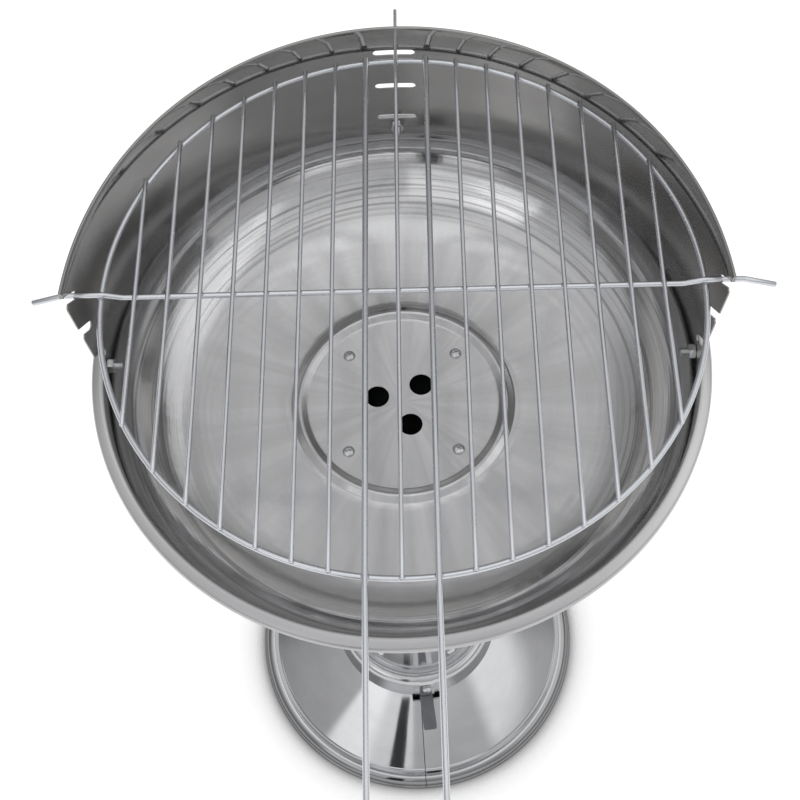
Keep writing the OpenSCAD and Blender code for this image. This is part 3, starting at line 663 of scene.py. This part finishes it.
def screwMesh(size, grip):  # pan head with a cross recess, its seat at z = 0
    radius, high, shank = size["headD"] / 2, size["headH"], size["shankD"] / 2
    bm = bmesh.new()
    tip = size["tip"]
    dome = [(radius * wide, high * tall, corner) for wide, tall, corner in size["dome"]]
    drawLine(bm, [(0, high), *dome, (radius, 0, 0.3), (shank, 0), (shank, -grip + tip),
                  (shank - tip, -grip), (0, -grip)])
    turnRound(bm, 40)
    head = makePiece("panScrew", bm)
    cutters = []
    for turn in (0, 90):
        bm = bmesh.new()
        bmesh.ops.create_cube(bm, size=2)
        for vert in bm.verts:
            taper = 1 if vert.co.z > 0 else size["recessTaper"]
            vert.co = Vector((vert.co.x * size["recess"][0] / 2 * taper, vert.co.y * size["recess"][1] / 2,
                              high if vert.co.z > 0 else high - size["recess"][2])) * mm
        upper = [vert for vert in bm.verts if vert.co.z > high * 0.9 * mm]
        bmesh.ops.translate(bm, verts=upper, vec=(0, 0, 0.5 * mm))
        quarter = Matrix.Rotation(math.radians(turn), 3, "Z")
        bmesh.ops.rotate(bm, verts=bm.verts, cent=(0, 0, 0), matrix=quarter)
        cutters.append(makePiece("recessCutter", bm))
    combine(head, cutters)
    mesh = head.data
    bpy.data.objects.remove(head)
    return mesh


def hexMesh(wide, high, bore):  # chamfered hexagon from z = 0 up, bored through where bore is given
    outer = wide / math.cos(math.radians(30)) / 2
    bm = bmesh.new()
    place = Matrix.Translation((0, 0, high / 2 * mm)) @ Matrix.Rotation(math.radians(30), 4, "Z")
    bmesh.ops.create_cone(bm, cap_ends=True, segments=6, radius1=outer * mm, radius2=outer * mm,
                          depth=high * mm, matrix=place)
    nut = makePiece("hexagon", bm)
    bm = bmesh.new()
    inside = bore / 2 if bore else 0
    line = [(inside, 0), (wide / 2 * 0.96, 0), (outer * 1.01, 0.7), (outer * 1.01, high - 0.7),
            (wide / 2 * 0.96, high), (inside, high)]
    drawLine(bm, line + line[:1] if bore else line)
    turnRound(bm, 48)
    combine(nut, [makePiece("chamfer", bm)], "INTERSECT")
    mesh = nut.data
    bpy.data.objects.remove(nut)
    return mesh


def addThread(bm, diameter, pitch, start, length, matrix):  # one ridge wound along -Z
    thread = bmesh.new()
    radius = diameter / 2
    root = radius * 0.86
    drawLine(thread, [(root, start), (radius, start - pitch / 2, 0.12), (root, start - pitch)])
    turns = round(length / pitch)
    bmesh.ops.spin(thread, geom=thread.verts[:] + thread.edges[:], cent=(0, 0, 0), axis=(0, 0, 1),
                   dvec=(0, 0, -pitch * mm / 20), angle=math.tau * turns, steps=20 * turns)
    bmesh.ops.remove_doubles(thread, verts=thread.verts, dist=1e-6)
    bmesh.ops.recalc_face_normals(thread, faces=thread.faces)
    mesh = bpy.data.meshes.new("thread")
    thread.to_mesh(mesh)
    thread.free()
    addCopy(bm, mesh, matrix)


def placeScrews(name, node, grip, places):
    mesh = screwMesh(screwSet, grip)
    bm = bmesh.new()
    for matrix in places:
        addCopy(bm, mesh, matrix)
    dress(makePiece(name, bm, finishes["plated"]), "stand", "zinc_fasteners", node, sharp=40)


def placeBowlScrews(size):
    side = size["side"]
    placeScrews("bowlScrews", "bowl_screws", size["grip"], [
        facing((x * side, y * side, size["seatZ"]), upAxis, turn)
        for (x, y), turn in size["turns"].items()])


def placeColumnScrews(size):
    placeScrews("columnScrews", "column_screws", size["grip"], [
        facing(aroundFront(azimuth) * size["radius"] + upAxis * size["height"], aroundFront(azimuth), turn)
        for azimuth, turn in size["turns"].items()])


def placeCollarScrew(size):  # square to the tapered band, at a share of its height
    ahead = aroundFront(size["azimuth"])
    tilt = math.atan(size["lean"] / size["tall"])
    out = ahead * math.cos(tilt) + upAxis * math.sin(tilt)
    radius = size["footR"] - size["lean"] * size["share"]
    height = size["footZ"] + size["tall"] * size["share"]
    seat = ahead * radius + upAxis * height + out * size["sheet"]
    placeScrews("collarScrew", "collar_screw", size["grip"], [facing(seat, out, size["turn"])])


placeBowlScrews(bowlScrewSet)
placeColumnScrews(columnScrewSet)
placeCollarScrew(collarScrewSet)


def makeScreenBolts(size):
    bolts, nuts = bmesh.new(), bmesh.new()
    wide, high, bore = size["hexagon"]
    headMesh, nutMesh = hexMesh(wide, size["headH"], 0), hexMesh(wide, high, bore)
    lows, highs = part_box("screen_bolts")
    boltZ = (lows.z + highs.z) / 2 / mm
    seatR, tipR = size["seatR"], size["tipR"]
    core, tipCore = bore / 2 * size["core"], bore / 2 * size["tipCore"]
    for azimuth in size["azimuths"]:
        out = aroundFront(azimuth)
        place = facing(out * seatR + upAxis * boltZ, out)
        addCopy(bolts, headMesh, place)
        shank = bmesh.new()
        drawLine(shank, [(0, 1), (core, 1), (core, tipR - seatR + size["tipLong"]),
                         (tipCore, tipR - seatR), (0, tipR - seatR)])
        turnRound(shank, 24)
        mesh = bpy.data.meshes.new("shank")
        shank.to_mesh(mesh)
        shank.free()
        addCopy(bolts, mesh, place)
        addThread(bolts, bore, size["pitch"], size["threadFrom"], seatR - tipR - size["threadShort"], place)
        addCopy(nuts, nutMesh, facing(out * size["nutR"] + upAxis * boltZ, -out, size["nutTurn"]))
    plated = finishes["plated"]
    dress(makePiece("screenBolts", bolts, plated), "stand", "zinc_fasteners", "screen_bolts", sharp=40)
    dress(makePiece("screenNuts", nuts, plated), "stand", "zinc_fasteners", "screen_nuts", sharp=30)


makeScreenBolts(boltSet)
print("fasteners made")


# Grate: ring, cross rod with its pegs, long handle, thin rods and the weld spots between them
grateSet = {
    "ringD": 410, "ringZ": 752.2, "wire": 4, "thin": 3, "rodZ": 755.7, "handleZ": 756.2, "pitch": 22.4,
    "pegY": 1, "cross": [(190, 752.2), (203, 756.2), (230, 756.2), (253, 748.2)], "bend": 6,
    "handleFront": -428, "stub": 253, "bow": 0.3, "side": 3.5, "rodSide": -2.2, "drift": 1.8,
    "endIn": 0.5, "kinkCorner": 400, "bendShare": 0.99, "rodsAside": 8, "rodSteps": 12,
    "weldShare": 0.62, "weldFlat": 0.62, "weldVaries": 0.12, "pegWeldR": 2.4, "pegWeld": (1.2, 1, 0.6),
}


def makeGrate(size):
    random.seed(7)
    outR = (size["ringD"] + size["wire"]) / 2 - size["endIn"]
    ringR, pitch, aside = size["ringD"] / 2, size["pitch"], size["rodSide"]

    def hang(name, bm, *nodes, finish="wire", sharp=50):
        bmesh.ops.translate(bm, verts=bm.verts, vec=(size["side"] * mm, 0, 0))
        dress(makePiece(name, bm, finishes[finish]), "grate", "grate_wire", *nodes, sharp=sharp)

    bm = bmesh.new()
    bmesh.ops.create_circle(bm, segments=20, radius=size["wire"] / 2 * mm, matrix=Matrix.Translation(
        (ringR * mm, 0, size["ringZ"] * mm)) @ Matrix.Rotation(math.radians(90), 4, "X"))
    turnRound(bm, 180)
    hang("grateRing", bm, "grate_ring")

    bm = bmesh.new()
    half = [(x, z, size["bend"]) for x, z in size["cross"]]
    line = bentPoints([(-x, z, bend) for x, z, bend in half[::-1]] + half)
    drawWire(bm, [(point.x, size["pegY"], point.z) for point in line], size["wire"], 20)
    hang("grateCrossRod", bm, "grate_cross_rod")

    bm = bmesh.new()
    backY = math.sqrt(outR ** 2 - pitch ** 2)
    front = size["handleFront"]
    drift, kink, kinkCorner, bend = size["drift"], -outR, size["kinkCorner"], pitch * size["bendShare"]
    line = bentPoints([(-pitch, backY), (-pitch, kink, kinkCorner), (drift - pitch, front, bend),
                       (pitch + drift, front, bend), (pitch, kink, kinkCorner), (pitch, backY)])
    drawWire(bm, [(point.x + aside, point.z, size["handleZ"]) for point in line], size["wire"], 20)
    hang("grateHandle", bm, "grate_handle")

    def thinRod(bm, x, back, front):
        bow, swing = random.uniform(-1, 1) * size["bow"], random.uniform(0.8, 1.6)
        line = []
        for i in range(size["rodSteps"] + 1):
            share = i / size["rodSteps"]
            side = bow * math.sin(math.pi * share * swing) * math.sin(math.pi * share)
            line.append((x + side, front + (back - front) * share, size["rodZ"]))
        drawWire(bm, line, size["thin"], 14)

    bm = bmesh.new()
    thinRod(bm, aside, size["stub"], -outR)
    hang("grateCentreRod", bm, "grate_centre_rod")
    bm = bmesh.new()
    most = size["rodsAside"]
    columns = [i * pitch + aside for i in range(-most, most + 1) if abs(i) > 1]
    for x in columns:
        reach = math.sqrt(outR ** 2 - x ** 2)
        thinRod(bm, x, reach, -reach)
    names = [f"grate_rod_{i:02d}" for i in range(1, len(columns) + 1)]
    hang("grateThinRods", bm, *names)

    bm = bmesh.new()
    handles = [aside - pitch, aside + pitch]
    for x in [aside, *handles, *columns]:
        thick = size["wire"] if x in handles else size["thin"]
        joint = size["ringZ"] + size["wire"] / 2
        reach = math.sqrt(ringR ** 2 - x ** 2)
        for y in (-reach, size["pegY"], reach):
            varies = size["weldVaries"]
            lump = Matrix.Diagonal((
                1 + varies * random.random(), 1 + varies * random.random(), size["weldFlat"], 1))
            bmesh.ops.create_icosphere(bm, subdivisions=3, radius=thick * size["weldShare"] * mm,
                                       matrix=Matrix.Translation(Vector((x, y, joint)) * mm) @ lump)
    for side in (-1, 1):
        spot = Vector((side * ringR, size["pegY"], size["ringZ"] + size["wire"] / 2))
        lump = Matrix.Diagonal((*size["pegWeld"], 1))
        bmesh.ops.create_icosphere(bm, subdivisions=3, radius=size["pegWeldR"] * mm,
                                   matrix=Matrix.Translation(spot * mm) @ lump)
    hang("grateWelds", bm, finish="weld", sharp=60)


makeGrate(grateSet)
print("grate made")


# Studio: white floor, world, dark card, camera and lamps
studioSet = {
    "floor": 0.9, "floorGlow": 0.35, "glossyGlow": 0.4, "contact": 0.06, "footEdge": (0.174, 0.18),
    "floorR": 14, "floorDrop": 0.0002, "ambient": 0.85,
    "camera": (19.24, -476.62, 1498.56), "turn": -2.59, "tip": 62.16, "roll": -3.65,
    "lens": 58.59, "sensor": 36, "card": (-0.2, -0.9, 0.62), "cardSize": (0.13, 0.75),
}
lampSet = {
    "softboxLeft": {"place": (-1.3, -1.2, 2.3), "wide": 0.7, "high": 1.1, "power": 3},
    "softboxRight": {"place": (1.5, -0.9, 2.2), "wide": 0.6, "high": 1.0, "power": 2.5},
}
lampTarget = (0, 0, 0.4)


def makeFloor(size):
    finish = newFinish("whiteFloor")
    paths = finish.add("ShaderNodeLightPath").socket.node
    glossy = Socket(finish, paths.outputs["Is Glossy Ray"])
    seen = Socket(finish, paths.outputs["Is Camera Ray"]) + glossy * size["glossyGlow"]
    grit = finish.noise(finish.place(), 40, 3)
    # painted contact shadow: ambient occlusion darkens the floor's colour and glow near the foot
    bare = finish.add("ShaderNodeAmbientOcclusion", {"samples": 8}, {"Distance": size["contact"]},
                      output="AO") ** 6
    outside = finish.length(finish.place()).between(*size["footEdge"])
    matt = finish.add("ShaderNodeBsdfDiffuse", sockets={"Color": finish.mixed(
        bare * (0.99 + grit * 0.01), (0.25, 0.25, 0.25), [size["floor"]] * 3)})
    glow = finish.add("ShaderNodeEmission", sockets={
        "Color": (1, 1, 1, 1), "Strength": seen * outside * bare * size["floorGlow"]})
    bm = bmesh.new()
    bmesh.ops.create_circle(bm, cap_ends=True, segments=64, radius=size["floorR"])
    bmesh.ops.translate(bm, verts=bm.verts, vec=(0, 0, -size["floorDrop"]))
    both = finish.add("ShaderNodeAddShader", sockets={0: matt, 1: glow})
    makePiece("studioFloor", bm, finish.done(both))


def makeWorld(size):
    world = bpy.data.worlds.new("studioWorld")
    bpy.context.scene.world = world
    finish = Finish(world)
    paths = finish.add("ShaderNodeLightPath").socket.node
    glossy = Socket(finish, paths.outputs["Is Glossy Ray"])
    seen = Socket(finish, paths.outputs["Is Camera Ray"])
    x, y, z = finish.parts(finish.add("ShaderNodeTexCoord", output="Generated"))
    side = x / y
    band = (0 - y).between(0.02, 0.1) * z.between(0.3, 0.5) * (1 - z.between(0.72, 0.85))
    left = band * side.between(0.04, 0.12) * (1 - side.between(1.2, 1.5))
    right = x.between(0.52, 0.66) * z.between(0.4, 0.55) * (1 - z.between(0.78, 0.88))
    north = y.between(0.1, 0.4)
    sky = 0.3 + z.between(0, 0.9) * 0.3 + x.between(-0.3, 0.9) * (1 - z) * 0.15
    sky = sky + z.between(0.65, 0.9) * 0.12 + z.between(0.9, 0.99) * 0.35
    sky = sky - north * (1 - z.between(0.6, 0.85)) * 0.14
    low = (0 - y).between(0.75, 0.9) * z.between(0, 0.04) * (1 - z.between(0.2, 0.28))
    mirrored = sky + left * (0.35 + side.between(0.45, 0.7) * 0.3) + right * 0.45 + low * 0.6
    strength = seen + (1 - seen) * (glossy * mirrored + (1 - glossy) * size["ambient"])
    light = finish.add("ShaderNodeBackground", sockets={"Color": (1, 1, 1, 1), "Strength": strength})
    finish.done(light, "ShaderNodeOutputWorld")


def makeLamp(name, size):
    lamp = bpy.data.lights.new(name, "AREA")
    lamp.shape, lamp.size, lamp.size_y, lamp.energy = "RECTANGLE", size["wide"], size["high"], size["power"]
    holder = bpy.data.objects.new(name, lamp)
    holder.location = size["place"]
    towards = Vector(lampTarget) - Vector(size["place"])
    holder.rotation_euler = towards.to_track_quat("-Z", "Y").to_euler()
    holder.visible_glossy = False
    bpy.context.scene.collection.objects.link(holder)


def makeCard(size):  # dark card in front of the foot, seen only in reflections
    x, y, z = size["card"]
    wide, high = size["cardSize"]
    finish = newFinish("darkCard")
    matt = finish.add("ShaderNodeBsdfDiffuse", sockets={"Color": (0.05, 0.05, 0.05, 1)})
    bm = bmesh.new()
    bmesh.ops.create_grid(bm, x_segments=1, y_segments=1, size=0.5)
    bmesh.ops.scale(bm, verts=bm.verts, vec=(wide, high, 1))
    upright = Matrix.Rotation(math.radians(90), 3, "X")
    bmesh.ops.rotate(bm, verts=bm.verts, cent=(0, 0, 0), matrix=upright)
    bmesh.ops.translate(bm, verts=bm.verts, vec=(x, y, z))
    card = makePiece("darkCard", bm, finish.done(matt))
    card.visible_camera = card.visible_diffuse = card.visible_shadow = False


def makeCamera(size):
    turn, tip, roll = (math.radians(size[name]) for name in ("turn", "tip", "roll"))
    ahead = Vector((math.sin(turn) * math.cos(tip), math.cos(turn) * math.cos(tip), -math.sin(tip)))
    right = ahead.cross(upAxis).normalized()
    upward = right.cross(ahead)
    across = math.cos(roll) * right + math.sin(roll) * upward
    above = math.cos(roll) * upward - math.sin(roll) * right
    camera = bpy.data.cameras.new("photoCamera")
    camera.lens, camera.sensor_width = size["lens"], size["sensor"]
    holder = bpy.data.objects.new("photoCamera", camera)
    holder.matrix_world = Matrix.Translation(Vector(size["camera"]) * mm) @ Matrix(
        (across, above, -ahead)).transposed().to_4x4()
    bpy.context.scene.collection.objects.link(holder)
    bpy.context.scene.camera = holder


makeFloor(studioSet)
makeWorld(studioSet)
makeCard(studioSet)
makeCamera(studioSet)
for lampName, lampSize in lampSet.items():
    makeLamp(lampName, lampSize)
bpy.context.scene.view_settings.view_transform = "Standard"
print("studio made")
